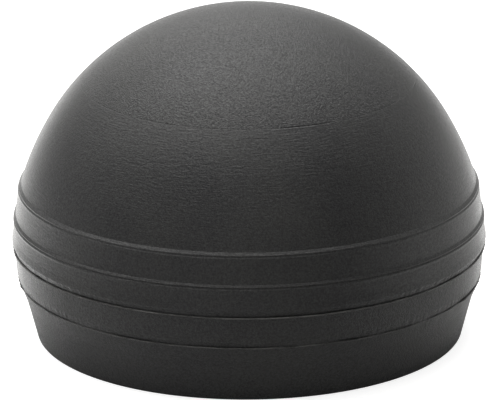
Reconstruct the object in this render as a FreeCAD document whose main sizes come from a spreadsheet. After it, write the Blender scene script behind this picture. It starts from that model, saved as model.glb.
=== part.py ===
import FreeCAD, Part
import math
import os

import Sketcher

# Case opening friction ball: a soft rubber dome on a flat, firmer rubber foot.  The user holds
# the stepped flank, presses the tacky crown on a screwed watch case back and turns.
#
# Every piece is a body of revolution about the Z axis.  The origin is the centre of the flat
# rest face under the foot, +Z points up through the crown, and all lengths are in millimetres.

# ---------------------------------------------------------------------------------------------
# Driving dimensions.  Each one becomes a named cell of the document's spreadsheet.
# ---------------------------------------------------------------------------------------------

DIMENSIONS = {
    # outside of the dome
    "ball_radius": 34.17,        # sphere that the dome is cut from
    "ball_centre": 14.74,        # height of that sphere's centre above the rest face
    "crown_angle": 46.0,         # angle from the axis to the ring joint around the crown
    "crown_thick": 3.0,
    "wall_thick": 7.5,           # crown and shell together

    # The flank.  A stand is how far a ring stands off the ball's sphere.
    "shoulder_height": 31.0,     # where the flank starts to leave the sphere
    "flare_stand": 0.30,
    "flare_height": 23.60,       # where it turns out towards the first lip

    # first step: a lip with a short wall under it
    "lip_one_stand": 0.64,
    "lip_one_height": 22.75,
    "foot_one_stand": 0.34,
    "foot_one_height": 22.25,

    # second step
    "lip_two_stand": 0.70,
    "lip_two_height": 18.30,
    "foot_two_stand": 0.45,
    "foot_two_height": 17.80,

    # third step: the widest ring of the ball, with an undercut that ends on the grip band
    "lip_three_stand": 0.83,
    "lip_three_height": 14.45,
    "foot_three_stand": 0.15,
    "band_top": 13.50,
    "band_top_stand": 0.35,

    # fourth step: the grip band's own lip, with an undercut that ends on the base cup
    "lip_four_stand": 0.53,
    "lip_four_height": 9.75,
    "foot_four_stand": 0.04,
    "cup_top": 8.65,
    "cup_top_stand": 0.21,
    "rest_stand": 0.50,

    # neck and bead that tie the dome to the foot
    "neck_radius": 29.0,
    "bead_radius": 30.2,
    "bead_top": 5.0,
    "floor_thick": 2.2,
    "keeper_radius": 24.2,       # small lip in the neck that keeps the hoop down
    "keeper_top": 9.2,
    "cavity_start": 10.6,        # where the round cavity starts above that lip

    # hoop and plate inside the foot
    "hoop_outer": 25.0,
    "hoop_inner": 23.6,
    "hoop_top": 8.2,
    "plate_thick": 2.0,

    # foam core
    "core_gap": 0.2,
    "core_foot_top": 9.4,
    "core_pocket_radius": 3.7,
    "core_pocket_top": 6.8,

    # vent plug in the middle of the floor
    "plug_head_radius": 5.0,
    "plug_seat_radius": 5.2,
    "plug_seat_top": 1.2,
    "plug_recess": 0.2,
    "plug_stem_radius": 2.5,
    "plug_barb_radius": 3.4,
    "plug_barb_tip_radius": 2.0,
    "plug_barb_top": 6.2,
    "vent_radius": 0.6,

    # edge rounds
    "lip_round": 0.22,
    "rest_edge_round": 0.35,
    "band_edge_round": 0.12,
    "inner_edge_round": 0.4,
}

SHEET = "Dims"
ON_AXIS = "0"                    # a corner on the axis of revolution
ON_REST_FACE = "0"               # a corner on the plane of the rest face

# the sketcher's numbers for the places on an element
START = 1
END = 2
CENTRE = 3


def cell(name):
    """The expression text that reads one dimension from the spreadsheet."""
    return SHEET + "." + name


def sphere_radius_at(radius, height):
    """Expression for the distance from the axis of a point on a sphere about the ball's centre."""
    drop = "(" + height + " - " + cell("ball_centre") + ")"
    return "sqrt((" + radius + ") ^ 2 - " + drop + " ^ 2)"


def off_ball(stand, height):
    """The corner at a height that stands off the ball's sphere by the stand."""
    return sphere_radius_at(cell("ball_radius"), height) + " + " + stand, height


def make_sheet(doc):
    """Puts every driving dimension in the spreadsheet, one aliased cell per row."""
    sheet = doc.addObject("Spreadsheet::Sheet", SHEET)
    for row, (name, value) in enumerate(DIMENSIONS.items(), start=1):
        sheet.set("A" + str(row), name)
        sheet.set("B" + str(row), str(value))
        sheet.setAlias("B" + str(row), name)
    doc.recompute()
    return sheet


# ---------------------------------------------------------------------------------------------
# Profiles: closed outlines in the XZ plane, turned once about the Z axis.
# ---------------------------------------------------------------------------------------------

def bind(sketch, constraint, expression):
    """Adds a constraint and ties its value to an expression over the spreadsheet."""
    index = sketch.addConstraint(constraint)
    sketch.setExpression("Constraints[" + str(index) + "]", expression)


def hold_corner(sketch, element, end, corner):
    """Holds one end of a sketch element at a (radius, height) corner."""
    radius, height = corner
    if radius == ON_AXIS:
        sketch.addConstraint(Sketcher.Constraint("PointOnObject", element, end, -2))
    else:
        value = float(sketch.evalExpression(radius))
        bind(sketch, Sketcher.Constraint("DistanceX", -1, 1, element, end, value), radius)
    if height == ON_REST_FACE:
        sketch.addConstraint(Sketcher.Constraint("PointOnObject", element, end, -1))
    else:
        value = float(sketch.evalExpression(height))
        bind(sketch, Sketcher.Constraint("DistanceY", -1, 1, element, end, value), height)


def arc_about_axis(start, end):
    """The arc between two points whose centre lies on the Z axis, and which end its start is at."""
    rise = (end.x ** 2 + end.y ** 2) - (start.x ** 2 + start.y ** 2)
    centre = FreeCAD.Vector(0, rise / (2 * (end.y - start.y)), 0)
    circle = Part.Circle(centre, FreeCAD.Vector(0, 0, 1), (start - centre).Length)
    angle_start = math.atan2(start.y - centre.y, start.x)
    angle_end = math.atan2(end.y - centre.y, end.x)
    if angle_end > angle_start:
        return Part.ArcOfCircle(circle, angle_start, angle_end), START
    return Part.ArcOfCircle(circle, angle_end, angle_start), END


def draw_outline(sketch, corners, arcs, rounds):
    """
    Draws a closed, fully constrained outline through the corners.  The edge after a corner whose
    number is in arcs is an arc centred on the axis, and every other edge is straight.  rounds
    gives the radius of the corners that are rounded, which lie between two straight edges.
    """
    points = []
    for radius, height in corners:
        x = float(sketch.evalExpression(radius))
        y = float(sketch.evalExpression(height))
        points.append(FreeCAD.Vector(x, y, 0))

    count = len(points)
    head = []                    # which end of each edge lies at the edge's own corner
    for number in range(count):
        start = points[number]
        end = points[(number + 1) % count]
        if number in arcs:
            arc, end_at_start = arc_about_axis(start, end)
            sketch.addGeometry(arc, False)
            head.append(end_at_start)
        else:
            sketch.addGeometry(Part.LineSegment(start, end), False)
            head.append(START)

    for number in range(count):
        following = (number + 1) % count
        tail = END if head[number] == START else START
        sketch.addConstraint(
            Sketcher.Constraint("Coincident", number, tail, following, head[following]))
    for number in arcs:
        sketch.addConstraint(Sketcher.Constraint("PointOnObject", number, CENTRE, -2))

    for number, corner in enumerate(corners):
        if number in rounds:
            size = rounds[number]
            value = float(sketch.evalExpression(size))
            sketch.fillet(number, START, value, True, True)
            kept_corner = sketch.GeometryCount - 1
            round_arc = sketch.GeometryCount - 2
            bind(sketch, Sketcher.Constraint("Radius", round_arc, value), size)
            hold_corner(sketch, kept_corner, START, corner)
        else:
            hold_corner(sketch, number, head[number], corner)


def turned_body(doc, label, corners, arcs=(), rounds=None):
    """A body made by turning one closed outline through a full circle about the Z axis."""
    body = doc.addObject("PartDesign::Body", label)
    body.Label = label
    sketch = body.newObject("Sketcher::SketchObject", label + "_profile")
    planes = {feature.Role: feature for feature in body.Origin.OriginFeatures}
    sketch.AttachmentSupport = [(planes["XZ_Plane"], "")]
    sketch.MapMode = "FlatFace"
    doc.recompute()
    draw_outline(sketch, corners, arcs, rounds or {})
    doc.recompute()

    turn = body.newObject("PartDesign::Revolution", label + "_turned")
    turn.Profile = sketch
    turn.ReferenceAxis = (sketch, ["V_Axis"])
    turn.Angle = 360.0
    sketch.Visibility = False
    doc.recompute()
    body.Placement = FreeCAD.Placement()
    return body


# ---------------------------------------------------------------------------------------------
# Corners that more than one piece shares
# ---------------------------------------------------------------------------------------------

def seat_radius():
    """Radius of the sphere on which the crown is bonded to the dome shell."""
    return cell("ball_radius") + " - " + cell("crown_thick")


def cavity_radius():
    """Radius of the hollow inside the dome shell."""
    return cell("ball_radius") + " - " + cell("wall_thick")


def on_crown_joint(radius):
    """The corner where the ring joint around the crown meets a sphere of that radius."""
    across = "(" + radius + ") * sin(" + cell("crown_angle") + ")"
    up = cell("ball_centre") + " + (" + radius + ") * cos(" + cell("crown_angle") + ")"
    return across, up


def on_axis_at(radius):
    """The top point of a sphere of that radius."""
    return ON_AXIS, cell("ball_centre") + " + " + radius


def plate_top():
    """Height of the stiffener plate's upper face."""
    return cell("floor_thick") + " + " + cell("plate_thick")


# ---------------------------------------------------------------------------------------------
# Pieces
# ---------------------------------------------------------------------------------------------

def make_friction_crown(doc):
    """Tacky cap of even thickness that grips the case back, bonded flush into the dome."""
    corners = [
        on_axis_at(seat_radius()),
        on_crown_joint(seat_radius()),
        on_crown_joint(cell("ball_radius")),
        on_axis_at(cell("ball_radius")),
    ]
    return turned_body(doc, "friction_crown", corners, arcs=(0, 2))


def make_dome_shell(doc):
    """
    Thick rubber shell with the crown's seat on top and the first three lips round its flank.
    Below the third lip it narrows to a neck whose bead locks under the base cup's rim.
    """
    cavity_foot = sphere_radius_at(cavity_radius(), cell("cavity_start"))
    corners = [
        on_crown_joint(cell("ball_radius")),
        (sphere_radius_at(cell("ball_radius"), cell("shoulder_height")), cell("shoulder_height")),
        off_ball(cell("flare_stand"), cell("flare_height")),
        off_ball(cell("lip_one_stand"), cell("lip_one_height")),
        off_ball(cell("foot_one_stand"), cell("foot_one_height")),
        off_ball(cell("lip_two_stand"), cell("lip_two_height")),
        off_ball(cell("foot_two_stand"), cell("foot_two_height")),
        off_ball(cell("lip_three_stand"), cell("lip_three_height")),
        off_ball(cell("foot_three_stand"), cell("band_top")),
        (cell("neck_radius"), cell("band_top")),
        (cell("neck_radius"), cell("bead_top")),
        (cell("bead_radius"), cell("bead_top")),
        (cell("bead_radius"), cell("floor_thick")),
        (cell("hoop_outer"), cell("floor_thick")),
        (cell("hoop_outer"), cell("hoop_top")),
        (cell("keeper_radius"), cell("hoop_top")),
        (cell("keeper_radius"), cell("keeper_top")),
        (cavity_foot, cell("cavity_start")),
        on_axis_at(cavity_radius()),
        on_axis_at(seat_radius()),
        on_crown_joint(seat_radius()),
    ]
    lips = {3: cell("lip_round"), 5: cell("lip_round"), 7: cell("lip_round")}
    return turned_body(doc, "dome_shell", corners, arcs=(0, 1, 17, 19), rounds=lips)


def make_grip_band(doc):
    """Firm rubber band round the neck, between the dome's last lip and the base cup."""
    corners = [
        (cell("neck_radius"), cell("band_top")),
        off_ball(cell("band_top_stand"), cell("band_top")),
        off_ball(cell("lip_four_stand"), cell("lip_four_height")),
        off_ball(cell("foot_four_stand"), cell("cup_top")),
        (cell("neck_radius"), cell("cup_top")),
    ]
    rounds = {1: cell("band_edge_round"), 2: cell("lip_round")}
    return turned_body(doc, "grip_band", corners, rounds=rounds)


def make_base_cup(doc):
    """Firm rubber foot: a tapered wall with an inner rim that traps the bead, and a flat floor."""
    corners = [
        off_ball(cell("cup_top_stand"), cell("cup_top")),
        off_ball(cell("rest_stand"), ON_REST_FACE),
        (cell("plug_seat_radius"), ON_REST_FACE),
        (cell("plug_seat_radius"), cell("plug_seat_top")),
        (cell("plug_stem_radius"), cell("plug_seat_top")),
        (cell("plug_stem_radius"), cell("floor_thick")),
        (cell("bead_radius"), cell("floor_thick")),
        (cell("bead_radius"), cell("bead_top")),
        (cell("neck_radius"), cell("bead_top")),
        (cell("neck_radius"), cell("cup_top")),
    ]
    rounds = {0: cell("band_edge_round"), 1: cell("rest_edge_round")}
    return turned_body(doc, "base_cup", corners, rounds=rounds)


def make_bead_hoop(doc):
    """Steel hoop that presses the neck and its bead outwards into the base cup."""
    corners = [
        (cell("hoop_inner"), cell("floor_thick")),
        (cell("hoop_outer"), cell("floor_thick")),
        (cell("hoop_outer"), cell("hoop_top")),
        (cell("hoop_inner"), cell("hoop_top")),
    ]
    rounds = {2: cell("inner_edge_round"), 3: cell("inner_edge_round")}
    return turned_body(doc, "bead_hoop", corners, rounds=rounds)


def make_stiffener_plate(doc):
    """Stiff disc on the floor that spreads the push of the palm and keeps the foot flat."""
    corners = [
        (cell("plug_stem_radius"), cell("floor_thick")),
        (cell("hoop_inner"), cell("floor_thick")),
        (cell("hoop_inner"), plate_top()),
        (cell("plug_stem_radius"), plate_top()),
    ]
    rounds = {2: cell("inner_edge_round")}
    return turned_body(doc, "stiffener_plate", corners, rounds=rounds)


def make_cushion_core(doc):
    """Open-cell foam that fills the dome, so that it flattens on a case back and springs back."""
    core_radius = cavity_radius() + " - " + cell("core_gap")
    foot_radius = cell("hoop_inner") + " - " + cell("core_gap")
    shoulder = cell("cavity_start") + " + " + cell("core_gap")
    corners = [
        (cell("core_pocket_radius"), plate_top()),
        (foot_radius, plate_top()),
        (foot_radius, cell("core_foot_top")),
        (sphere_radius_at(core_radius, shoulder), shoulder),
        on_axis_at(core_radius),
        (ON_AXIS, cell("core_pocket_top")),
        (cell("core_pocket_radius"), cell("core_pocket_top")),
    ]
    return turned_body(doc, "cushion_core", corners, arcs=(3,))


def make_vent_plug(doc):
    """Rubber plug with a fine bleed hole, snapped through the floor and the plate."""
    corners = [
        (cell("vent_radius"), cell("plug_recess")),
        (cell("plug_head_radius"), cell("plug_recess")),
        (cell("plug_head_radius"), cell("plug_seat_top")),
        (cell("plug_stem_radius"), cell("plug_seat_top")),
        (cell("plug_stem_radius"), plate_top()),
        (cell("plug_barb_radius"), plate_top()),
        (cell("plug_barb_tip_radius"), cell("plug_barb_top")),
        (cell("vent_radius"), cell("plug_barb_top")),
    ]
    return turned_body(doc, "vent_plug", corners)


# ---------------------------------------------------------------------------------------------
# Document, checks and export
# ---------------------------------------------------------------------------------------------

def check_document(doc):
    """Stops the build if any feature failed or any shape is missing or broken."""
    for item in doc.Objects:
        for state in item.State:
            if state in ("Invalid", "Error"):
                raise RuntimeError(item.Label + " is in state " + state)
        if item.isDerivedFrom("Part::Feature") and not item.isDerivedFrom("Part::Part2DObject"):
            if item.Shape.isNull() or not item.Shape.isValid():
                raise RuntimeError(item.Label + " has no valid shape")


def export_pieces(pieces):
    """Writes each piece to its own STEP file, named after the piece."""
    os.makedirs("parts", exist_ok=True)
    for piece in pieces:
        piece.Shape.exportStep("parts/" + piece.Label + ".step")
        volume = piece.Shape.Volume / 1000.0
        print(piece.Label, "volume", round(volume, 2), "cm3, solids", len(piece.Shape.Solids))


def main():
    doc = FreeCAD.newDocument("friction_ball")
    make_sheet(doc)
    pieces = [
        make_friction_crown(doc),
        make_dome_shell(doc),
        make_grip_band(doc),
        make_base_cup(doc),
        make_bead_hoop(doc),
        make_stiffener_plate(doc),
        make_cushion_core(doc),
        make_vent_plug(doc),
    ]
    doc.recompute()
    check_document(doc)
    export_pieces(pieces)


main()
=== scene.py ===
import math

import bmesh
import bpy
import numpy as np
from mathutils import Matrix, Vector


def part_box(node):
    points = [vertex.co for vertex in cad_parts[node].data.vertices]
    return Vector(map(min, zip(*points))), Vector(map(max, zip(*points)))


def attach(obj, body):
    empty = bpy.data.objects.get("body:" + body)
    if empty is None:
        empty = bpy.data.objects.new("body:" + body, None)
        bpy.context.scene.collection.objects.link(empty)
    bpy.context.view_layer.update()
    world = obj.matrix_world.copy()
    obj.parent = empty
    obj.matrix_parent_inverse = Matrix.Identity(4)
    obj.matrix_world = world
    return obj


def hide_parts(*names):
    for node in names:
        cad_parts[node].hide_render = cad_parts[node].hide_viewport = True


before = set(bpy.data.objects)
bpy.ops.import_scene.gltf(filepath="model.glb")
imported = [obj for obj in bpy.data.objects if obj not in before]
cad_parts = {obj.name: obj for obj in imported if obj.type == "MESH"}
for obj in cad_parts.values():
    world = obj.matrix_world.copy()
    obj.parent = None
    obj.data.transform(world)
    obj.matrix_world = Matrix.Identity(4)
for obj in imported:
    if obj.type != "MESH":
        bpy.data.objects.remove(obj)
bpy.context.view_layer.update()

# Case opening friction ball.  The CAD frame gives the outer sizes of the nodes; this script adds
# what a moulded rubber ball shows close up: rolled lips, flash fins, a ring joint round the
# crown, grain and turning lines.  Outlines are in millimetres, objects are in metres.

MM = 0.001


# ---------------------------------------------------------------------------------------------
# Sizes read from the frame, in millimetres
# ---------------------------------------------------------------------------------------------

def reach(node):
    """Largest radius, lowest height and highest height of a round CAD node."""
    low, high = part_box(node)
    return max(high.x, high.y) / MM, low.z / MM, high.z / MM


CROWN_ANGLE = math.radians(46.0)             # from the axis to the ring joint

crown_reach, _, BALL_TOP = reach("friction_crown")
BALL_RADIUS = crown_reach / math.sin(CROWN_ANGLE)
BALL_CENTRE = BALL_TOP - BALL_RADIUS
_, SHELL_FOOT, SEAT_TOP = reach("dome_shell")
SEAT_RADIUS = SEAT_TOP - BALL_CENTRE         # sphere under the crown
_, CUP_TOP, BAND_TOP = reach("grip_band")
_, REST, CUP_RIM = reach("base_cup")
HOOP_RADIUS, FLOOR_TOP, HOOP_TOP = reach("bead_hoop")
PLATE_RADIUS, PLATE_FOOT, PLATE_TOP = reach("stiffener_plate")
_, CORE_FOOT, CORE_TOP = reach("cushion_core")
PLUG_RADIUS, PLUG_FOOT, PLUG_TOP = reach("vent_plug")
CORE_GAP = 0.2                               # between the foam core and what is round it
CORE_SPHERE = CORE_TOP - BALL_CENTRE
CAVITY_RADIUS = CORE_SPHERE + CORE_GAP

# inner sizes that no node's box gives, the same as in the CAD
NECK_RADIUS = 29.0
BEAD_RADIUS = 30.2
BEAD_TOP = 5.0
KEEPER_RADIUS = 24.2
KEEPER_TOP = 9.2
CAVITY_START = 10.6
PLUG_SEAT_RADIUS = 5.2
PLUG_SEAT_TOP = 1.2
STEM_RADIUS = 2.5
BARB_RADIUS = 3.4
BARB_TIP_RADIUS = 2.0
VENT_RADIUS = 0.6
CORE_POCKET_RADIUS = 3.7
CORE_POCKET_TOP = 6.8

# the flank's heights, and the foot
SHOULDER = 31.0                              # here the dome starts to flare out to lip 1
FLARE_HEIGHT = 23.60                         # and here the flare ends
FLARE_STAND = 0.30
LIP_1 = 22.62
LIP_2 = 18.10
SHELL_WAIST = 15.60
LIP_3 = 14.40
BAND_WAIST = 11.50
LIP_4 = 9.72
FOOT_RADIUS = 31.48

# the ring joint round the crown
JOINT_HALF = 0.028
JOINT_DEPTH = 0.004
CREASE_DEPTH = 0.05
CREASE_AT = math.radians(-71.0)
CREASE_HALF = math.radians(9.0)


# ---------------------------------------------------------------------------------------------
# Outlines
# ---------------------------------------------------------------------------------------------

def corner(radius, height, soft=0.0, fin=0.0, torn=0.0):
    """
    One corner of an outline.  soft is the radius it is rounded with, fin how much the flash
    wave moves it, and torn how much the ragged noise of a torn edge moves it.
    """
    return (radius, height, soft, fin, torn)


def ball_at(height, stand=0.0):
    """Radius at a height of the ball's sphere, plus a stand."""
    return math.sqrt(BALL_RADIUS ** 2 - (height - BALL_CENTRE) ** 2) + stand


def on_ball(height, stand, soft=0.0, fin=0.0, torn=0.0):
    """A corner that stands this far off the ball's sphere, at a height."""
    return corner(ball_at(height, stand), height, soft, fin, torn)


def sphere_run(radius, start, end, count):
    """Corners along a sphere about the ball's centre, by angle from the axis."""
    return [corner(radius * math.sin(angle), BALL_CENTRE + radius * math.cos(angle))
            for angle in np.linspace(start, end, count)]


ROUND_TURN = math.radians(16)                # most that a rounded corner turns from point to point
ROUND_SHARE = 0.48                           # most of a run that one rounded corner takes up


def rounded(corners, step, closed):
    """
    Rounds the soft corners of an outline and divides its runs that are longer than step.  The
    result is an array with a row (radius, height, fin, torn) for each point.
    """
    points = []
    count = len(corners)
    for number, here in enumerate(corners):
        soft = here[2]
        at_end = not closed and number in (0, count - 1)
        if soft <= 0 or at_end:
            points.append((here[0], here[1], here[3], here[4]))
            continue
        before = corners[number - 1]
        after = corners[(number + 1) % count]
        here_v = np.array(here[:2])
        back = np.array(before[:2]) - here_v
        ahead = np.array(after[:2]) - here_v
        back_length = np.linalg.norm(back)
        ahead_length = np.linalg.norm(ahead)
        back /= back_length
        ahead /= ahead_length
        bend = math.acos(max(-1.0, min(1.0, float(back @ ahead))))
        reach_back = min(soft / math.tan(bend / 2), ROUND_SHARE * back_length,
                         ROUND_SHARE * ahead_length)
        pieces = max(2, math.ceil((math.pi - bend) / ROUND_TURN))
        first = here_v + back * reach_back
        last = here_v + ahead * reach_back
        for part in np.linspace(0.0, 1.0, pieces + 1):
            # a quadratic curve from tangent point to tangent point
            spot = (1 - part) ** 2 * first + 2 * part * (1 - part) * here_v + part ** 2 * last
            points.append((spot[0], spot[1], here[3], here[4]))
    dense = []
    total = len(points)
    for number in range(total if closed else total - 1):
        start = np.array(points[number])
        end = np.array(points[(number + 1) % total])
        length = np.linalg.norm(end[:2] - start[:2])
        parts = max(1, math.ceil(length / step))
        for part in range(parts):
            dense.append(start + (end - start) * part / parts)
    if not closed:
        dense.append(np.array(points[-1]))
    return np.array(dense)


def ripple(angles, seed, lowest, highest, fall):
    """A smooth periodic wave round the ball, about one high, from seeded random harmonics."""
    rng = np.random.default_rng(seed)
    total = np.zeros_like(angles)
    power = 0.0
    for harmonic in range(lowest, highest + 1):
        size = 1.0 / harmonic ** fall
        total += size * np.cos(harmonic * angles + rng.uniform(0, 2 * math.pi))
        power += size ** 2 / 2
    return total / math.sqrt(power)


def nibs(angles, seed, count, width, height):
    """Small separate peaks at seeded random places round the ball, in millimetres."""
    rng = np.random.default_rng(seed)
    total = np.zeros_like(angles)
    for place in rng.uniform(0, 2 * math.pi, count):
        away = np.angle(np.exp(1j * (angles - place)))
        tall = height * rng.uniform(0.4, 1.0)
        total += tall * np.exp(-(away / (width * rng.uniform(0.6, 1.6))) ** 2)
    return total


def torn_wave(angles, seed, out, up):
    """Offsets outward and upward of an edge that tore as it left the mould."""
    return out * ripple(angles, seed, 100, 400, 0.2), up * ripple(angles, seed + 50, 60, 400, 0.2)


# ---------------------------------------------------------------------------------------------
# Mesh making
# ---------------------------------------------------------------------------------------------

SEGMENTS = 880                               # round the visible surfaces
HIDDEN_SHARE = 8                             # hidden surfaces have this many times fewer


def join_rows(here, below):
    """Faces between two rings of points, of which either may be one point or a coarser ring."""
    if len(here) == 1 and len(below) == 1:
        return []
    if len(here) < len(below):
        here, below = below, here
    count = len(here)
    if len(below) == 1:
        return [(here[side], below[0], here[(side + 1) % count]) for side in range(count)]
    share = count // len(below)
    faces = []
    for side, low in enumerate(below):
        next_low = below[(side + 1) % len(below)]
        arc = [here[(side * share + step) % count] for step in range(share, -1, -1)]
        faces.append((low, next_low, *arc))
    return faces


def turn_mesh(name, outline, closed, wave=None, segments=SEGMENTS, hidden=None):
    """
    Turns an outline (radius, height, fin, torn) round the Z axis into a closed mesh.  An open
    outline starts and ends on the axis.  wave(angles, row, point) gives each point's offsets
    outward and upward, and hidden(point) is true for the rows that nobody sees, which get fewer
    segments.
    """
    verts = []
    rows = []
    for number, point in enumerate(outline):
        radius, height = point[0], point[1]
        if radius < 1e-6:
            rows.append([len(verts)])
            verts.append((0.0, 0.0, height * MM))
            continue
        count = segments
        if hidden is not None and hidden(point):
            count = segments // HIDDEN_SHARE
        angles = np.linspace(0, 2 * math.pi, count, endpoint=False)
        out = np.full(count, radius)
        up = np.full(count, height)
        if wave is not None:
            push, lift = wave(angles, number, point)
            out = out + push
            up = up + lift
        rows.append(list(range(len(verts), len(verts) + count)))
        verts.extend(zip(out * np.cos(angles) * MM, out * np.sin(angles) * MM, up * MM))
    faces = []
    for here, below in zip(rows, rows[1:]):
        faces.extend(join_rows(here, below))
    if closed:
        faces.extend(join_rows(rows[-1], rows[0]))
    mesh = bpy.data.meshes.new(name)
    mesh.from_pydata(verts, [], faces)
    mesh.validate()
    work = bmesh.new()
    work.from_mesh(mesh)
    bmesh.ops.recalc_face_normals(work, faces=work.faces)
    work.to_mesh(mesh)
    work.free()
    mesh.polygons.foreach_set("use_smooth", [True] * len(mesh.polygons))
    mesh.update()
    piece = bpy.data.objects.new(name, mesh)
    bpy.context.scene.collection.objects.link(piece)
    return piece


def fit(piece, node, material):
    """Puts a finished piece on the frame in place of its CAD node."""
    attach(piece, "root")
    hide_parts(node)
    piece.data.materials.append(material)
    return piece


# ---------------------------------------------------------------------------------------------
# Materials
# ---------------------------------------------------------------------------------------------

class Graph:
    """A few short calls for building one material's nodes."""

    def __init__(self, name):
        self.material = bpy.data.materials.new(name)
        self.material.use_nodes = True
        self.tree = self.material.node_tree
        self.tree.nodes.clear()
        self.output = self.add("ShaderNodeOutputMaterial")
        self.shader = self.add("ShaderNodeBsdfPrincipled")
        self.link(self.shader.outputs["BSDF"], self.output.inputs["Surface"])
        self.where = self.add("ShaderNodeTexCoord").outputs["Object"]

    def add(self, kind, **settings):
        node = self.tree.nodes.new(kind)
        for key, value in settings.items():
            setattr(node, key, value)
        return node

    def link(self, source, target):
        self.tree.links.new(source, target)

    def noise(self, scale, detail=2.0, roughness=0.5, where=None):
        node = self.add("ShaderNodeTexNoise")
        node.inputs["Scale"].default_value = scale
        node.inputs["Detail"].default_value = detail
        node.inputs["Roughness"].default_value = roughness
        self.link(where or self.where, node.inputs["Vector"])
        return node.outputs["Fac"]

    def math(self, operation, first, second=None):
        node = self.add("ShaderNodeMath", operation=operation)
        for slot, value in zip(node.inputs, (first, second)):
            if value is None:
                continue
            if isinstance(value, float):
                slot.default_value = value
            else:
                self.link(value, slot)
        return node.outputs[0]

    def span(self, value, from_low, from_high, to_low, to_high):
        node = self.add("ShaderNodeMapRange", clamp=True)
        self.link(value, node.inputs["Value"])
        for key, number in (("From Min", from_low), ("From Max", from_high),
                            ("To Min", to_low), ("To Max", to_high)):
            node.inputs[key].default_value = number
        return node.outputs["Result"]

    def blend(self, factor, first, second):
        node = self.add("ShaderNodeMix", data_type="RGBA")
        self.link(factor, node.inputs["Factor"])
        colours = [slot for slot in node.inputs if slot.type == "RGBA"]
        for slot, value in zip(colours, (first, second)):
            if isinstance(value, tuple):
                slot.default_value = (*value, 1.0)
            else:
                self.link(value, slot)
        return [slot for slot in node.outputs if slot.type == "RGBA"][0]

    def bump(self, height, distance, under=None):
        node = self.add("ShaderNodeBump")
        node.inputs["Strength"].default_value = 1.0
        node.inputs["Distance"].default_value = distance
        self.link(height, node.inputs["Height"])
        if under is not None:
            self.link(under, node.inputs["Normal"])
        return node.outputs["Normal"]

    def split(self):
        """The three coordinates of a place on the piece, in metres."""
        node = self.add("ShaderNodeSeparateXYZ")
        self.link(self.where, node.inputs[0])
        return node.outputs[0], node.outputs[1], node.outputs[2]

    def ring_streaks(self, pitch, length):
        """Broken turning lines: noise drawn out round the axis, with a fine pitch down the ball."""
        x, y, z = self.split()
        across = self.math("SQRT", self.math("ADD", self.math("POWER", x, 2.0),
                                             self.math("POWER", y, 2.0)))
        up = self.math("SUBTRACT", z, BALL_CENTRE * MM)
        angle = self.math("ARCTAN2", across, up)
        place = self.add("ShaderNodeCombineXYZ")
        for slot, value in zip(place.inputs, (x, y)):
            self.link(self.math("MULTIPLY", value, 1.0 / (length * MM)), slot)
        self.link(self.math("MULTIPLY", angle, BALL_RADIUS / pitch), place.inputs[2])
        return self.noise(1.0, 2.0, 0.6, place.outputs[0])


RUBBER_DARK = (0.0135, 0.0135, 0.0145)
RUBBER_LIGHT = (0.0215, 0.0215, 0.0210)
RUBBER_DUST = (0.055, 0.054, 0.050)
# painted highlight colour, laid along the flash fins in place of the light that their tops catch
RUBBER_FLASH_HIGHLIGHT = (0.125, 0.125, 0.120)
DUST_SHARE = 0.25                            # how thick the dust lies on a speck
GRAZING_GLOSS = 0.26                         # how far the roughness falls along the surface
GRAIN_SPREAD = 0.06                          # how far the roughness differs along the grain
CLOUD_SPREAD = 0.03                          # and along the bloom
STREAK_PITCH = 0.26                          # of the turning lines, in millimetres
STREAK_LENGTH = 1.4
FLASH_HIGHLIGHT_HALF = 0.09                            # half the height of the painted highlight line on a flash fin
FLASH_HIGHLIGHT_FADE = 0.03


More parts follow.
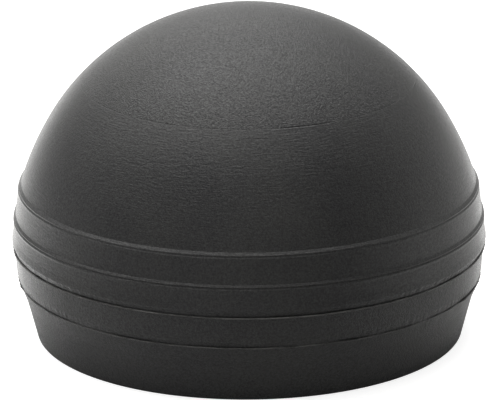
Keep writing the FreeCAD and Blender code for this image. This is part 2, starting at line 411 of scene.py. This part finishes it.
def rubber(name, grain, sheen, streak_depth=0.0, rough=0.56, flash_highlight_at=None, flash_highlight_strength=1.0):
    """
    Matt black moulded rubber: a fine blasted grain, a cloudy bloom, a little dust that settles
    in the grain, and where the mould was turned, fine broken lines round the ball.  grain and
    streak_depth are depths in millimetres; sheen is how much the gloss differs along the grain.
    The last two arguments give a flash fin's height and a painted highlight's strength along it.
    """
    graph = Graph(name)
    fine = graph.noise(6200.0, 1.0, 0.5)
    pits = graph.noise(3300.0, 1.0, 0.5)
    cloud = graph.noise(95.0, 3.0, 0.6)
    broad = graph.noise(28.0, 2.0, 0.5)
    specks = graph.noise(5200.0, 0.0, 0.5)

    bloom = graph.span(graph.math("ADD", cloud, graph.math("MULTIPLY", broad, 0.7)),
                       0.65, 1.05, 0.0, 1.0)
    colour = graph.blend(bloom, RUBBER_DARK, RUBBER_LIGHT)
    speck = graph.math("MULTIPLY", graph.span(specks, 0.62, 0.78, 0.0, 1.0), DUST_SHARE)
    colour = graph.blend(speck, colour, RUBBER_DUST)
    # painted highlight: a patchy pale band at the flash fin's height, in place of the light that
    # its top catches
    if flash_highlight_at is not None:
        off = graph.math("ABSOLUTE", graph.math("SUBTRACT", graph.split()[2], flash_highlight_at * MM))
        near_flash_highlight = graph.span(off, FLASH_HIGHLIGHT_HALF * MM, (FLASH_HIGHLIGHT_HALF + FLASH_HIGHLIGHT_FADE) * MM, 1.0, 0.0)
        patchy_flash_highlight = graph.span(graph.noise(260.0, 3.0, 0.7), 0.40, 0.60, 0.25 * flash_highlight_strength, flash_highlight_strength)
        colour = graph.blend(graph.math("MULTIPLY", near_flash_highlight, patchy_flash_highlight), colour, RUBBER_FLASH_HIGHLIGHT)
    graph.link(colour, graph.shader.inputs["Base Color"])

    # rubber looks smoother along its surface than straight down on it
    facing = graph.add("ShaderNodeLayerWeight").outputs["Facing"]
    smoother = graph.span(facing, 0.45, 0.85, 0.0, GRAZING_GLOSS)
    grainy = graph.math("ADD",
                        graph.span(fine, 0.3, 0.7, rough - GRAIN_SPREAD, rough + GRAIN_SPREAD),
                        graph.span(cloud, 0.3, 0.7, -CLOUD_SPREAD, CLOUD_SPREAD))
    graph.link(graph.math("SUBTRACT", grainy, smoother), graph.shader.inputs["Roughness"])
    graph.shader.inputs["IOR"].default_value = 1.5
    tops = graph.math("ADD", graph.math("MULTIPLY", fine, 0.5), graph.math("MULTIPLY", pits, 0.5))
    graph.link(graph.span(tops, 0.36, 0.64, 0.5 - sheen, 0.5 + sheen),
               graph.shader.inputs["Specular IOR Level"])

    height = graph.math("ADD", fine, graph.math("MULTIPLY", pits, 0.8))
    normal = graph.bump(height, grain * MM)
    if streak_depth:
        streaks = graph.ring_streaks(STREAK_PITCH, STREAK_LENGTH)
        normal = graph.bump(streaks, streak_depth * MM, under=normal)
    graph.link(normal, graph.shader.inputs["Normal"])
    return graph.material


def steel(name):
    """Rolled strip steel with drawing lines round the hoop."""
    graph = Graph(name)
    stretch = graph.add("ShaderNodeMapping")
    stretch.inputs["Scale"].default_value = (60.0, 60.0, 6000.0)
    graph.link(graph.where, stretch.inputs["Vector"])
    lines = graph.noise(1.0, 3.0, 0.6, stretch.outputs["Vector"])
    patches = graph.noise(300.0, 3.0, 0.6)
    colour = graph.blend(graph.span(patches, 0.35, 0.7, 0.0, 1.0), (0.50, 0.50, 0.51),
                         (0.60, 0.60, 0.60))
    graph.link(colour, graph.shader.inputs["Base Color"])
    graph.shader.inputs["Metallic"].default_value = 1.0
    graph.link(graph.span(lines, 0.3, 0.7, 0.28, 0.46), graph.shader.inputs["Roughness"])
    graph.link(graph.bump(lines, 0.004 * MM), graph.shader.inputs["Normal"])
    return graph.material


def plastic(name):
    """Dark moulded plastic with a spark-eroded texture."""
    graph = Graph(name)
    fine = graph.noise(2600.0, 3.0, 0.55)
    cloud = graph.noise(70.0, 2.0, 0.5)
    colour = graph.blend(graph.span(cloud, 0.35, 0.65, 0.0, 1.0), (0.040, 0.041, 0.045),
                         (0.058, 0.058, 0.062))
    graph.link(colour, graph.shader.inputs["Base Color"])
    graph.link(graph.span(fine, 0.3, 0.7, 0.42, 0.58), graph.shader.inputs["Roughness"])
    graph.link(graph.bump(fine, 0.012 * MM), graph.shader.inputs["Normal"])
    return graph.material


def foam(name):
    """Open-cell rubber foam: lighter struts, and painted shade in the hollow cells."""
    graph = Graph(name)
    cells = graph.add("ShaderNodeTexVoronoi", feature="DISTANCE_TO_EDGE")
    cells.inputs["Scale"].default_value = 900.0
    graph.link(graph.where, cells.inputs["Vector"])
    struts = graph.span(cells.outputs["Distance"], 0.0, 0.22, 1.0, 0.0)
    # painted shade: the hollow cells between the struts are coloured darker than the struts
    colour = graph.blend(struts, (0.020, 0.020, 0.021), (0.15, 0.15, 0.145))
    graph.link(colour, graph.shader.inputs["Base Color"])
    graph.link(graph.span(struts, 0.0, 1.0, 0.95, 0.78), graph.shader.inputs["Roughness"])
    graph.link(graph.bump(struts, 0.25 * MM), graph.shader.inputs["Normal"])
    return graph.material


# ---------------------------------------------------------------------------------------------
# Pieces
# ---------------------------------------------------------------------------------------------

STEP = 1.2                                   # longest run of most outlines, in millimetres
WHOLE_RUNS = 10.0                            # longer than any run, so that none is divided


def crease(angles):
    """One where the ring joint is pinched into a crease, at the front right, falling to nothing."""
    away = np.angle(np.exp(1j * (angles - CREASE_AT)))
    return np.exp(-(away / CREASE_HALF) ** 4)


def joint_bottom():
    """The corner at the bottom of the ring joint, which the crown and the shell share."""
    far = BALL_RADIUS - JOINT_DEPTH
    return corner(far * math.sin(CROWN_ANGLE), BALL_CENTRE + far * math.cos(CROWN_ANGLE), 0.0, 1.0)


def joint_sink(angles):
    """How far the ring joint's bottom is sunk: unevenly, and deepest in the crease."""
    return JOINT_DEPTH * (1 + ripple(angles, 60, 4, 90, 0.3)) + CREASE_DEPTH * crease(angles)


def off_ball(outward):
    """Offsets outward and upward of a point at the crown's edge that moves off the sphere."""
    return outward * math.sin(CROWN_ANGLE), outward * math.cos(CROWN_ANGLE)


def make_crown():
    """The tacky cap.  The thin groove at its edge is one half of the ring joint."""
    fine_edge = 0.8 / BALL_RADIUS
    last_plain = CROWN_ANGLE - 1.0 / BALL_RADIUS
    top = sphere_run(BALL_RADIUS, 0.0, last_plain, 56)
    skirt = sphere_run(BALL_RADIUS, CROWN_ANGLE - fine_edge,
                       CROWN_ANGLE - JOINT_HALF / BALL_RADIUS, 5)
    under = sphere_run(SEAT_RADIUS, CROWN_ANGLE, 0.0, 36)
    outline = rounded(top + skirt + [joint_bottom()] + under, WHOLE_RUNS, closed=False)

    def wave(angles, number, point):
        at_joint = point[2]
        return off_ball(-at_joint * joint_sink(angles))

    def hidden(point):
        radius, height = point[0], point[1]
        return math.hypot(radius, height - BALL_CENTRE) < SEAT_RADIUS + 1.0

    return turn_mesh("friction_crown_cap", outline, closed=False, wave=wave, hidden=hidden)


def make_shell():
    """The dome below the crown, its two bands, the undercut third lip, the neck and the bead."""
    skirt_arc = 1.6                          # of fine rows below the joint, in millimetres
    shoulder_angle = math.acos((SHOULDER - BALL_CENTRE) / BALL_RADIUS)
    skirt_end = CROWN_ANGLE + skirt_arc / BALL_RADIUS
    skirt = sphere_run(BALL_RADIUS, CROWN_ANGLE + JOINT_HALF / BALL_RADIUS, skirt_end, 13)
    dome = sphere_run(BALL_RADIUS, skirt_end + 0.3 / BALL_RADIUS, shoulder_angle, 8)
    flare = []
    for height in np.linspace(SHOULDER, FLARE_HEIGHT, 10)[1:]:
        share = (SHOULDER - height) / (SHOULDER - FLARE_HEIGHT)
        flare.append(on_ball(height, FLARE_STAND * share ** 1.6))
    lips = [
        # lip 1, the notch under it, and the ledge that the next band starts with
        on_ball(LIP_1 + 0.40, 0.34, 0.12),
        on_ball(LIP_1, 0.64, 0.06),
        on_ball(LIP_1 - 0.18, 0.56, 0.03),
        on_ball(LIP_1 - 0.26, 0.58, 0.03),
        on_ball(LIP_1 - 0.42, 0.66, 0.06),
        on_ball(LIP_1 - 0.82, 0.58, 0.30),
        # lip 2, the same way
        on_ball(LIP_2 + 0.34, 0.42, 0.12),
        on_ball(LIP_2, 0.68, 0.05),
        on_ball(LIP_2 - 0.14, 0.58, 0.03),
        on_ball(LIP_2 - 0.22, 0.58, 0.03),
        on_ball(LIP_2 - 0.42, 0.72, 0.05),
        on_ball(LIP_2 - 0.75, 0.64, 0.30),
        # lip 3, with a torn edge and an undercut
        on_ball(SHELL_WAIST, 0.66, 1.0),
        on_ball(LIP_3 + 0.16, 0.82, 0.08, 0.0, 0.3),
        on_ball(LIP_3, 0.76, 0.04, 0.0, 1.0),
        on_ball(LIP_3 - 0.26, 0.59, 0.06, 0.0, 0.9),
        on_ball(BAND_TOP, 0.52),
    ]
    neck = [
        corner(NECK_RADIUS, BAND_TOP, 0.3),
        corner(NECK_RADIUS, BEAD_TOP, 0.2),
        corner(BEAD_RADIUS, BEAD_TOP, 0.3),
        corner(BEAD_RADIUS, SHELL_FOOT, 0.3),
        corner(HOOP_RADIUS, SHELL_FOOT, 0.2),
        corner(HOOP_RADIUS, HOOP_TOP, 0.1),
        corner(KEEPER_RADIUS, HOOP_TOP, 0.2),
        corner(KEEPER_RADIUS, KEEPER_TOP, 0.3),
    ]
    cavity_angle = math.acos((CAVITY_START - BALL_CENTRE) / CAVITY_RADIUS)
    cavity = sphere_run(CAVITY_RADIUS, cavity_angle, 0.0, 40)
    seat = sphere_run(SEAT_RADIUS, 0.0, CROWN_ANGLE, 36)
    outline = rounded(skirt + dome + flare + lips + neck + cavity + seat + [joint_bottom()],
                      STEP, closed=True)

    def folds(angles, below):
        """A low roll of rubber along the crease, and a finer one that runs out to the left."""
        roll_at, roll_width, roll_height = 0.16, 0.12, 0.020
        fold_at, fold_slant, fold_width, fold_height = 0.62, 0.9, 0.10, 0.012
        roll = roll_height * crease(angles) * math.exp(-((below - roll_at) / roll_width) ** 2)
        line = fold_at + fold_slant * (angles - CREASE_AT) / math.pi
        fold = fold_height * crease(angles + 0.16) * np.exp(-((below - line) / fold_width) ** 2)
        return roll + fold

    def wave(angles, number, point):
        radius, height, at_joint, torn = point
        push = np.zeros_like(angles)
        lift = 0.012 * ripple(angles, 5, 1, 5, 1.0)        # the flank is a little out of true
        if torn > 0:
            out, up = torn_wave(angles, 40, 0.030, 0.065)
            push = push + torn * out
            lift = lift + torn * up
        # the lift fades out towards the neck
        lift = lift * min(1.0, max(0.0, (radius - NECK_RADIUS) / 2.0))
        below = (math.atan2(radius, height - BALL_CENTRE) - CROWN_ANGLE) * BALL_RADIUS
        if at_joint > 0:
            out, up = off_ball(-at_joint * joint_sink(angles))
            return push + out, lift + up
        if 0 < below < skirt_arc and radius > SEAT_RADIUS * math.sin(CROWN_ANGLE):
            out, up = off_ball(folds(angles, below))
            return push + out, lift + up
        return push, lift

    def hidden(point):
        radius, height = point[0], point[1]
        in_neck = radius < NECK_RADIUS + 0.3 and height < SHELL_WAIST
        return in_neck or math.hypot(radius, height - BALL_CENTRE) < BALL_RADIUS - 1.0

    return turn_mesh("dome_shell_body", outline, closed=True, wave=wave, hidden=hidden)


def make_band():
    """The grip band: a thin flash fin on its top edge and a ragged undercut below its lip."""
    corners = [
        corner(NECK_RADIUS, BAND_TOP, 0.6),
        on_ball(BAND_TOP, 0.54, 0.02),
        # the fin, whose stands are taken from the sphere a little above or below its corners
        corner(ball_at(BAND_TOP + 0.10, 0.59), BAND_TOP + 0.12, 0.02, 0.7),
        corner(ball_at(BAND_TOP - 0.10, 0.75), BAND_TOP - 0.04, 0.03, 1.0),
        corner(ball_at(BAND_TOP - 0.30, 0.50), BAND_TOP - 0.20, 0.06, 0.5),
        on_ball(BAND_WAIST, 0.46, 1.0),
        # lip 4, with a torn edge and an undercut
        on_ball(LIP_4 + 0.18, 0.54, 0.12, 0.0, 0.3),
        on_ball(LIP_4, 0.52, 0.05, 0.0, 1.0),
        on_ball(LIP_4 - 0.32, 0.45, 0.10, 0.0, 0.9),
        corner(ball_at(CUP_TOP + 0.05, 0.41), CUP_TOP),
        corner(NECK_RADIUS, CUP_TOP),
    ]
    outline = rounded(corners, STEP, closed=True)

    def wave(angles, number, point):
        fin, torn = point[2], point[3]
        push = fin * (0.032 * ripple(angles, 7, 3, 40, 0.5)
                      + 0.016 * ripple(angles, 71, 80, 300, 0.2))
        lift = fin * 0.030 * ripple(angles, 8, 2, 30, 0.6)
        if torn > 0:
            out, up = torn_wave(angles, 140, 0.022, 0.055)
            push = push + torn * out
            lift = lift + torn * up
        return push, lift

    def hidden(point):
        return point[0] < NECK_RADIUS + 0.5

    return turn_mesh("grip_band_ring", outline, closed=True, wave=wave, hidden=hidden)


def make_cup():
    """The base cup: flash fin with small nibs on its top edge, tapered wall and flat floor."""
    corners = [
        corner(NECK_RADIUS, CUP_RIM),
        on_ball(CUP_RIM, 0.43, 0.02),
        # the fin, as on the grip band
        on_ball(CUP_RIM + 0.20, 0.46, 0.02, 0.7),
        corner(ball_at(CUP_RIM + 0.05, 0.59), CUP_RIM + 0.06, 0.03, 1.0),
        corner(ball_at(CUP_RIM - 0.10, 0.38), CUP_RIM - 0.09, 0.06, 0.4),
        # the wall, which bends in towards the foot
        corner(33.05, 6.00, 3.0),
        corner(32.25, 3.00, 3.0),
        corner(FOOT_RADIUS, REST, 0.12),
        corner(PLUG_SEAT_RADIUS, REST, 0.10),
        corner(PLUG_SEAT_RADIUS, PLUG_SEAT_TOP, 0.10),
        corner(STEM_RADIUS, PLUG_SEAT_TOP, 0.05),
        corner(STEM_RADIUS, FLOOR_TOP, 0.05),
        corner(BEAD_RADIUS, FLOOR_TOP, 0.2),
        corner(BEAD_RADIUS, BEAD_TOP, 0.2),
        corner(NECK_RADIUS, BEAD_TOP, 0.2),
    ]
    outline = rounded(corners, STEP, closed=True)

    def wave(angles, number, point):
        fin = point[2]
        push = fin * (0.045 * ripple(angles, 17, 3, 60, 0.4)
                      + 0.022 * ripple(angles, 81, 80, 300, 0.2)
                      + nibs(angles, 3, 26, 0.006, 0.10))
        lift = fin * 0.035 * ripple(angles, 18, 2, 50, 0.5)
        return push, lift

    def hidden(point):
        return point[0] < BEAD_RADIUS + 0.5

    return turn_mesh("base_cup_body", outline, closed=True, wave=wave, hidden=hidden)


def make_hoop():
    """The steel hoop inside the neck's bead, with its upper edges rounded."""
    corners = [
        corner(PLATE_RADIUS, FLOOR_TOP, 0.15),
        corner(HOOP_RADIUS, FLOOR_TOP, 0.15),
        corner(HOOP_RADIUS, HOOP_TOP, 0.40),
        corner(PLATE_RADIUS, HOOP_TOP, 0.40),
    ]
    return turn_mesh("bead_hoop_ring", rounded(corners, 1.0, closed=True), closed=True,
                     segments=240)


def make_plate():
    """The plastic plate in the foot, with a hole for the plug's stem."""
    corners = [
        corner(STEM_RADIUS, PLATE_FOOT, 0.1),
        corner(PLATE_RADIUS, PLATE_FOOT, 0.1),
        corner(PLATE_RADIUS, PLATE_TOP, 0.4),
        corner(STEM_RADIUS, PLATE_TOP, 0.2),
    ]
    return turn_mesh("stiffener_plate_disc", rounded(corners, 1.5, closed=True), closed=True,
                     segments=240)


def make_core():
    """Foam core, crowned under the dome, with a shallow pocket over the plug's barb."""
    shoulder = CAVITY_START + CORE_GAP
    top = sphere_run(CORE_SPHERE, 0.0, math.acos((shoulder - BALL_CENTRE) / CORE_SPHERE), 60)
    foot = [
        corner(PLATE_RADIUS - CORE_GAP, KEEPER_TOP + CORE_GAP, 0.4),
        corner(PLATE_RADIUS - CORE_GAP, CORE_FOOT, 0.4),
        corner(CORE_POCKET_RADIUS, CORE_FOOT, 0.3),
        corner(CORE_POCKET_RADIUS, CORE_POCKET_TOP, 0.4),
        corner(0.0, CORE_POCKET_TOP),
    ]
    outline = rounded(top + foot, 0.9, closed=False)

    def wave(angles, number, point):
        # cut foam: uneven, and never proud of its outline
        uneven = 0.03
        push = uneven * (ripple(angles, 300 + number, 20, 90, 0.3) - 1.0)
        return np.minimum(push, 0.0), np.zeros_like(angles)

    return turn_mesh("cushion_core_foam", outline, closed=False, wave=wave, segments=360)


def make_plug():
    """The vent plug: flat head in the foot, stem, barb over the plate, and a hole right through."""
    corners = [
        corner(VENT_RADIUS, PLUG_FOOT, 0.12),
        corner(PLUG_RADIUS, PLUG_FOOT, 0.25),
        corner(PLUG_RADIUS, PLUG_SEAT_TOP, 0.1),
        corner(STEM_RADIUS, PLUG_SEAT_TOP, 0.1),
        corner(STEM_RADIUS, PLATE_TOP, 0.1),
        corner(BARB_RADIUS, PLATE_TOP, 0.25),
        corner(BARB_TIP_RADIUS, PLUG_TOP, 0.3),
        corner(VENT_RADIUS, PLUG_TOP, 0.1),
    ]
    return turn_mesh("vent_plug_body", rounded(corners, 0.3, closed=True), closed=True,
                     segments=120)


crown_rubber = rubber("crown_rubber", grain=0.095, sheen=0.26)
shell_rubber = rubber("shell_rubber", grain=0.042, sheen=0.19, streak_depth=0.056)
# the grip band and the base cup get a painted highlight along their flash fins
band_rubber = rubber("band_rubber", grain=0.100, sheen=0.21, streak_depth=0.015, rough=0.58,
                     flash_highlight_at=BAND_TOP + 0.03)
cup_rubber = rubber("cup_rubber", grain=0.100, sheen=0.21, rough=0.58,
                    flash_highlight_at=CUP_RIM + 0.13, flash_highlight_strength=0.7)
plug_rubber = rubber("plug_rubber", grain=0.030, sheen=0.10, rough=0.50)
hoop_steel = steel("hoop_steel")
plate_plastic = plastic("plate_plastic")
core_foam = foam("core_foam")

fit(make_crown(), "friction_crown", crown_rubber)
fit(make_shell(), "dome_shell", shell_rubber)
fit(make_band(), "grip_band", band_rubber)
fit(make_cup(), "base_cup", cup_rubber)
fit(make_hoop(), "bead_hoop", hoop_steel)
fit(make_plate(), "stiffener_plate", plate_plastic)
core = fit(make_core(), "cushion_core", core_foam)
fit(make_plug(), "vent_plug", plug_rubber)


# ---------------------------------------------------------------------------------------------
# Studio: floor, light and camera
# ---------------------------------------------------------------------------------------------

def make_disc(name, radius, height, dark, light, scale, glow=0.0):
    """One flat round sheet of the set, of a mottled matt grey that may glow white.  In metres."""
    mesh = bpy.data.meshes.new(name)
    work = bmesh.new()
    bmesh.ops.create_circle(work, cap_ends=True, segments=96, radius=radius)
    bmesh.ops.translate(work, verts=work.verts, vec=(0.0, 0.0, height))
    work.to_mesh(mesh)
    work.free()
    disc = bpy.data.objects.new(name, mesh)
    bpy.context.scene.collection.objects.link(disc)
    graph = Graph(name)
    mottle = graph.span(graph.noise(scale, 2.0), 0.3, 0.7, 0.0, 1.0)
    graph.link(graph.blend(mottle, (dark,) * 3, (light,) * 3), graph.shader.inputs["Base Color"])
    graph.shader.inputs["Roughness"].default_value = 0.9
    graph.shader.inputs["Specular IOR Level"].default_value = 0.0
    graph.shader.inputs["Emission Color"].default_value = (1.0, 1.0, 1.0, 1.0)
    graph.shader.inputs["Emission Strength"].default_value = glow
    mesh.materials.append(graph.material)
    return disc


def make_floor():
    """
    A wide pale floor that the camera sees but the ball's shading and reflections don't, and a
    grey card under the ball that they see instead and the camera doesn't.
    Both lie a hair below the foot, so that no faces coincide.
    """
    floor = make_disc("studio_floor", 6.0, -0.0001, 0.50, 0.54, 6.0, glow=0.80)
    floor.visible_glossy = False
    floor.visible_diffuse = False
    card = make_disc("grey_card", 0.042, -0.0002, 0.72, 0.78, 60.0)
    card.visible_camera = False


# Lobes of light: elevation and direction in degrees (0 is behind the ball, 90 its right, -90 its
# left), how narrow the lobe is, and its strength.  The strengths don't come from a real set of
# lamps.  A least-squares fit to the photograph's tones gave them, and they were then rounded and
# adjusted.
BROAD = 8.0
NARROW = 30.0
STUDIO_LIGHTS = (
    # wide, from above and behind
    (62, 0, BROAD, 3.64),
    (62, -60, BROAD, 3.53),
    # wide, level
    (0, 60, BROAD, 1.26),
    (0, 180, BROAD, 0.86),
    # wide, from below
    (-35, 0, BROAD, 1.25),
    (-35, 90, BROAD, 1.55),
    (-35, -135, BROAD, 1.20),
    (-35, -45, BROAD, 2.30),
    # narrow, from above
    (70, 0, NARROW, 1.81),
    (70, 180, NARROW, 2.75),
    (70, -60, NARROW, 1.76),
    # narrow, just over the horizon behind
    (8, 0, NARROW, 0.63),
    (8, -25, NARROW, 0.89),
    # narrow, just under the horizon
    (-17, 20, NARROW, 1.25),
    (-17, 40, NARROW, 0.40),
    (-16, -20, NARROW, 1.00),
    (-18, -60, NARROW, 1.42),
    (-18, -90, NARROW, 1.36),
)
STUDIO_TINT = (1.0, 0.996, 0.982)


def make_world():
    """The studio's soft light, as a world of smooth lobes."""
    world = bpy.data.worlds.new("studio")
    bpy.context.scene.world = world
    world.use_nodes = True
    tree = world.node_tree
    tree.nodes.clear()
    output = tree.nodes.new("ShaderNodeOutputWorld")
    background = tree.nodes.new("ShaderNodeBackground")
    tree.links.new(background.outputs[0], output.inputs["Surface"])
    direction = tree.nodes.new("ShaderNodeTexCoord").outputs["Generated"]

    def step(operation, first, second):
        node = tree.nodes.new("ShaderNodeMath")
        node.operation = operation
        tree.links.new(first, node.inputs[0])
        if isinstance(second, float):
            node.inputs[1].default_value = second
        else:
            tree.links.new(second, node.inputs[1])
        return node.outputs[0]

    total = None
    for elevation, azimuth, sharpness, strength in STUDIO_LIGHTS:
        up = math.radians(elevation)
        turn = math.radians(azimuth)
        toward = tree.nodes.new("ShaderNodeVectorMath")
        toward.operation = "DOT_PRODUCT"
        tree.links.new(direction, toward.inputs[0])
        toward.inputs[1].default_value = (math.cos(up) * math.sin(turn),
                                          math.cos(up) * math.cos(turn), math.sin(up))
        lobe = step("POWER", step("MAXIMUM", toward.outputs["Value"], 0.0), sharpness)
        lobe = step("MULTIPLY", lobe, strength)
        total = lobe if total is None else step("ADD", total, lobe)
    tint = tree.nodes.new("ShaderNodeVectorMath")
    tint.operation = "SCALE"
    tint.inputs[0].default_value = STUDIO_TINT
    tree.links.new(total, tint.inputs["Scale"])
    tree.links.new(tint.outputs[0], background.inputs["Color"])


# The view.  A fit to the photograph gave all of it but the distance.
CAMERA_ELEVATION = math.radians(18.39)
CAMERA_ROLL = math.radians(-0.45)
CAMERA_DISTANCE = 25.0 * BALL_RADIUS         # millimetres: a long lens, nearly parallel rays
CAMERA_AIM = BALL_CENTRE + 0.1462 * BALL_RADIUS
CAMERA_SIDE = 0.0054 * BALL_RADIUS
BALL_SHARE = 0.46328                         # the ball's radius over the frame's width


def make_camera():
    """A camera at the photograph's angle, through a long lens."""
    right = Vector((1.0, 0.0, 0.0))
    up = Vector((0.0, math.sin(CAMERA_ELEVATION), math.cos(CAMERA_ELEVATION)))
    back = Vector((0.0, -math.cos(CAMERA_ELEVATION), math.sin(CAMERA_ELEVATION)))
    axis_x = right * math.cos(CAMERA_ROLL) + up * math.sin(CAMERA_ROLL)
    axis_y = up * math.cos(CAMERA_ROLL) - right * math.sin(CAMERA_ROLL)
    aim = Vector((CAMERA_SIDE, 0.0, CAMERA_AIM)) * MM
    spot = aim + back * CAMERA_DISTANCE * MM
    camera = bpy.data.cameras.new("camera")
    camera.sensor_width = 36.0
    camera.lens = BALL_SHARE * CAMERA_DISTANCE / BALL_RADIUS * camera.sensor_width
    camera.clip_start = 0.05
    camera.clip_end = 50.0
    holder = bpy.data.objects.new("camera", camera)
    bpy.context.scene.collection.objects.link(holder)
    turn = Matrix((axis_x, axis_y, back)).transposed()
    holder.matrix_world = Matrix.Translation(spot) @ turn.to_4x4()
    bpy.context.scene.camera = holder


make_floor()
make_world()
make_camera()
bpy.context.scene.view_settings.view_transform = "Standard"
